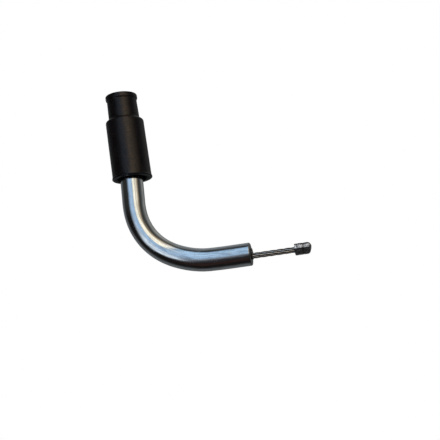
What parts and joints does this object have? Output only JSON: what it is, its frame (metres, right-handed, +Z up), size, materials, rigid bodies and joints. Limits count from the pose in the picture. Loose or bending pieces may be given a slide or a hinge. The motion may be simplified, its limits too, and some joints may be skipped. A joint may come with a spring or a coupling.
{
  "type": "throttle cable elbow end",
  "caption": "Throttle cable end: a 90 degree chromed elbow tube with a stranded inner wire and end slug, and a swivelling adjuster under a stepped rubber boot.",
  "frame": {"origin": "centre of the elbow tube's outlet face, where the tube is pushed into the throttle housing", "axes": "+X along the outlet arm, the way the inner wire leaves; +Z up along the inlet arm, towards the rubber boot; the bend lies in the XZ plane"},
  "size_m": [0.0662, 0.014, 0.0676],
  "materials": {
    "chrome": "bright chrome plate, lightly scuffed",
    "zinc_steel": "turned and zinc plated",
    "spring_steel": "dark, oiled",
    "brass": "turned",
    "wire_steel": "stranded steel wire with a brownish, greased tint",
    "slug_metal": "dark grey, rough from the swaging dies",
    "black_nylon": "moulded",
    "black_rubber": "satin moulded rubber"
  },
  "bodies": {
    "elbow": {"elbow_tube": "chrome", "outlet_bush": "black_nylon", "inlet_spigot": "zinc_steel", "thrust_washer": "black_nylon", "o_ring": "black_rubber", "snap_ring": "spring_steel"},
    "union": {"union_body": "zinc_steel"},
    "conduit_end": {"conduit_ferrule": "brass", "seat_washer": "spring_steel"},
    "adjuster": {"adjuster_screw": "zinc_steel"},
    "nut_washer": {"lock_washer": "spring_steel"},
    "nut": {"lock_nut": "zinc_steel"},
    "boot": {"rubber_boot": "black_rubber"},
    "wire": {"wire_core": "wire_steel", "wire_strand_1": "wire_steel", "wire_strand_2": "wire_steel", "wire_strand_3": "wire_steel", "wire_strand_4": "wire_steel", "wire_strand_5": "wire_steel", "wire_strand_6": "wire_steel", "wire_slug": "slug_metal"},
    "wire_in_bend": {"wire_bend": "wire_steel"},
    "wire_in_adjuster": {"wire_inlet": "wire_steel"}
  },
  "joints": [
    {"name": "swivel", "type": "hinge", "parent": "elbow", "child": "union", "pos_m": [-0.0389, 0, 0.0403], "axis": [0, 0, 1], "continuous": true},
    {"name": "adjuster_travel", "type": "slide", "parent": "union", "child": "conduit_end", "axis": [0, 0, 1], "range_m": [0, 0.003]},
    {"name": "adjuster_turn", "type": "hinge", "parent": "conduit_end", "child": "adjuster", "pos_m": [-0.0389, 0, 0.046], "axis": [0, 0, 1], "range_deg": [0, 1085]},
    {"name": "lock_nut_travel", "type": "slide", "parent": "union", "child": "nut_washer", "axis": [0, 0, 1], "range_m": [0, 0.001]},
    {"name": "lock_nut_turn", "type": "hinge", "parent": "nut_washer", "child": "nut", "pos_m": [-0.0389, 0, 0.0462], "axis": [0, 0, 1], "range_deg": [0, 362]},
    {"name": "boot_slide", "type": "slide", "parent": "conduit_end", "child": "boot", "axis": [0, 0, 1], "range_m": [0, 0.022]},
    {"name": "wire_pull", "type": "slide", "parent": "elbow", "child": "wire", "axis": [1, 0, 0], "range_m": [-0.006, 0.014]},
    {"name": "wire_bend_turn", "type": "hinge", "parent": "elbow", "child": "wire_in_bend", "pos_m": [-0.0145, 0, 0.0244], "axis": [0, -1, 0], "range_deg": [-13.9, 32.4]},
    {"name": "wire_inlet_slide", "type": "slide", "parent": "elbow", "child": "wire_in_adjuster", "axis": [0, 0, -1], "range_m": [-0.0061, 0.0141]}
  ],
  "couplings": [
    {"joint": "adjuster_turn", "follows": "adjuster_travel", "rad_per_m": 6283.2},
    {"joint": "lock_nut_turn", "follows": "lock_nut_travel", "rad_per_m": 6283.2},
    {"joint": "wire_bend_turn", "follows": "wire_pull", "rad_per_m": 40.323},
    {"joint": "wire_inlet_slide", "follows": "wire_pull", "ratio": 1}
  ]
}
